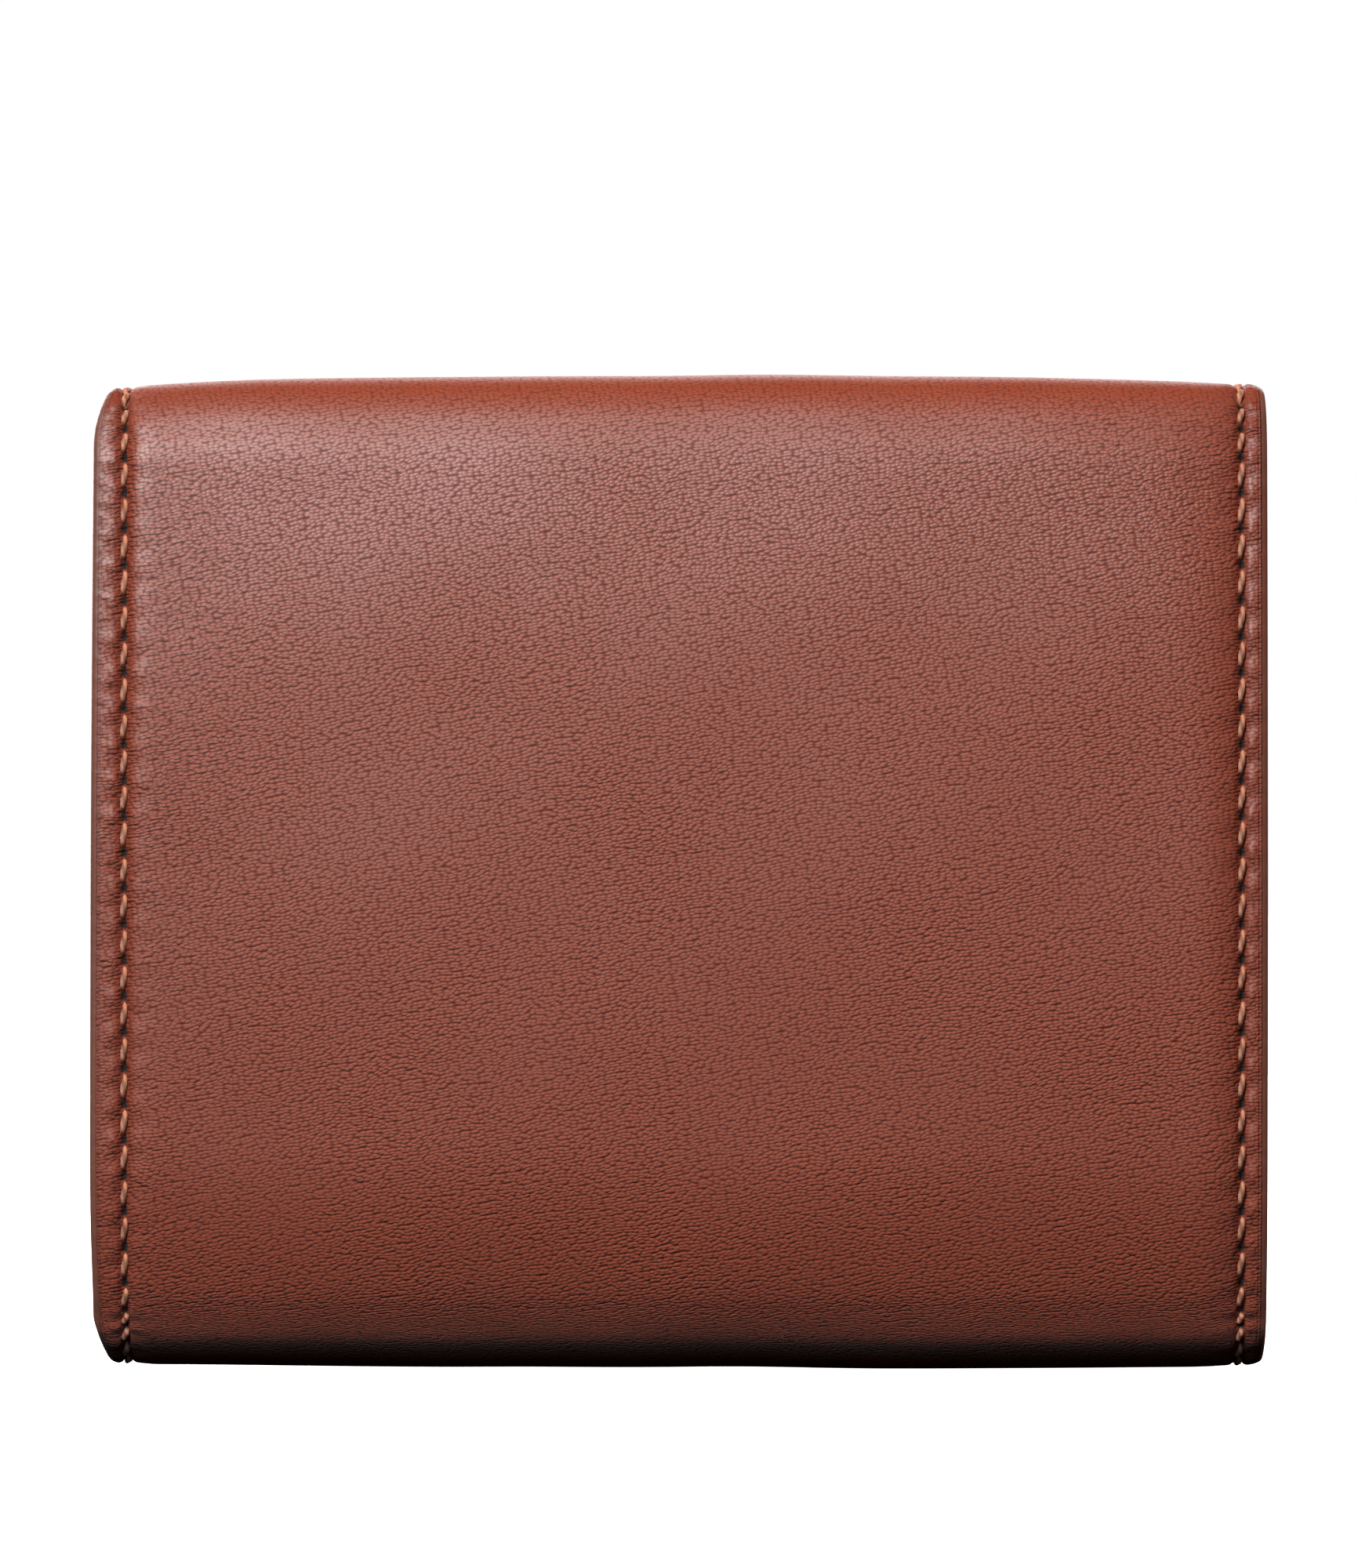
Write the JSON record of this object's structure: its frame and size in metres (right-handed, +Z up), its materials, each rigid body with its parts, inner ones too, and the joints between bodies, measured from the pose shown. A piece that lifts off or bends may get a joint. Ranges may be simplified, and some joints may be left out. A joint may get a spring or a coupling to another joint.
{
  "type": "trifold wallet",
  "caption": "Closed trifold leather wallet standing on its lower fold, with stitched sides, card and note pockets, a gusseted coin pocket and a press-stud flap.",
  "frame": {"origin": "middle of the footprint under the lower fold, on the surface that the closed wallet stands on", "axes": "+X along the width, to the right when the plain back is faced; +Y from the plain back towards the flap; +Z up, from the lower fold to the upper fold"},
  "size_m": [0.105, 0.0232, 0.089],
  "materials": {
    "leather": "smooth fine-grained reddish-brown hide, semi-gloss",
    "inner_leather": "thin smooth brown hide, satin",
    "lining": "dark brown twill",
    "stiffener": "bonded-leather board",
    "thread": "twisted waxed thread, orange tan",
    "brass": "polished, slightly worn",
    "spring_steel": "drawn wire"
  },
  "bodies": {
    "lower_fold": {"shell_lower_fold": "leather", "lining_lower_fold": "lining", "seam_left_lower_fold": "thread", "seam_right_lower_fold": "thread"},
    "back": {"shell_back": "leather", "stiffener_back": "stiffener", "lining_back": "lining", "note_divider": "inner_leather", "card_pocket_1": "inner_leather", "card_pocket_2": "inner_leather", "card_pocket_3": "inner_leather", "seam_left_back": "thread", "seam_right_back": "thread"},
    "upper_fold": {"shell_upper_fold": "leather", "lining_upper_fold": "lining", "seam_left_upper_fold": "thread", "seam_right_upper_fold": "thread"},
    "flap": {"shell_flap": "leather", "stiffener_flap": "stiffener", "lining_flap": "lining", "slip_pocket_flap": "inner_leather", "seam_flap": "thread", "snap_cap": "brass", "snap_socket": "brass", "snap_spring": "spring_steel"},
    "coin_panel": {"shell_coin_panel": "leather", "stiffener_coin_panel": "stiffener", "lining_coin_panel": "lining", "coin_pocket_wall": "inner_leather", "coin_pocket_base": "inner_leather", "coin_pocket_gusset_left": "inner_leather", "coin_pocket_gusset_right": "inner_leather", "seam_coin_panel": "thread", "snap_stud": "brass", "snap_post": "brass"}
  },
  "joints": [
    {"name": "back_crease", "type": "hinge", "parent": "lower_fold", "child": "back", "pos_m": [0, -0.01053, 0.00107], "axis": [1, 0, 0], "range_deg": [0, 90]},
    {"name": "upper_back_crease", "type": "hinge", "parent": "back", "child": "upper_fold", "pos_m": [0, -0.01053, 0.08793], "axis": [1, 0, 0], "range_deg": [0, 90]},
    {"name": "flap_crease", "type": "hinge", "parent": "upper_fold", "child": "flap", "pos_m": [0, 0.00883, 0.08793], "axis": [1, 0, 0], "range_deg": [0, 88.5]},
    {"name": "coin_panel_crease", "type": "hinge", "parent": "lower_fold", "child": "coin_panel", "pos_m": [0, 0.00533, 0.00107], "axis": [-1, 0, 0], "range_deg": [0, 90]}
  ],
  "couplings": [
    {"joint": "upper_back_crease", "follows": "back_crease", "ratio": 1},
    {"joint": "flap_crease", "follows": "back_crease", "ratio": 0.98333},
    {"joint": "coin_panel_crease", "follows": "back_crease", "ratio": 1}
  ]
}
